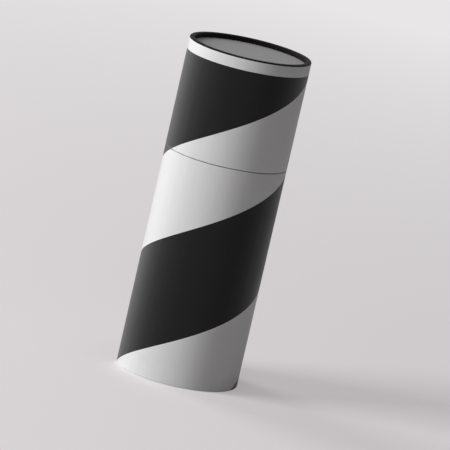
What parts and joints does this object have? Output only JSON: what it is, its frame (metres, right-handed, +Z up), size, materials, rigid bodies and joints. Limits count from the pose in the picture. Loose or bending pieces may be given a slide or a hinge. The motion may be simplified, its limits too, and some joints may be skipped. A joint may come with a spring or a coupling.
{
  "type": "cylindrical gift tube box",
  "caption": "Tall round board gift box: wrapped tube base with an inner neck, and a deep wrapped lid with a rolled rim that lifts straight off.",
  "frame": {"origin": "middle of the resting face, at table height", "axes": "+Z up along the tube's axis, -Y towards the viewer, +Y towards the lapped seam of the wrap"},
  "size_m": [0.084, 0.0842, 0.2302],
  "materials": {
    "printed_wrap": "satin",
    "panel_paper": "matte",
    "black_paper": "matte",
    "black_board": "matte",
    "black_rim": "satin",
    "grey_board": "matte"
  },
  "bodies": {
    "base": {"body_core": "grey_board", "body_wrap": "printed_wrap", "neck": "black_board", "base_board": "grey_board", "base_paper": "black_paper", "floor_paper": "black_paper"},
    "lid": {"lid_core": "grey_board", "lid_wrap": "printed_wrap", "lid_lining": "black_paper", "lid_rim": "black_rim", "lid_panel": "grey_board", "lid_panel_paper": "panel_paper", "ceiling_paper": "black_paper"}
  },
  "joints": [
    {"name": "lid_lift", "type": "slide", "parent": "base", "child": "lid", "axis": [0, 0, 1], "range_m": [0, 0.09]}
  ]
}
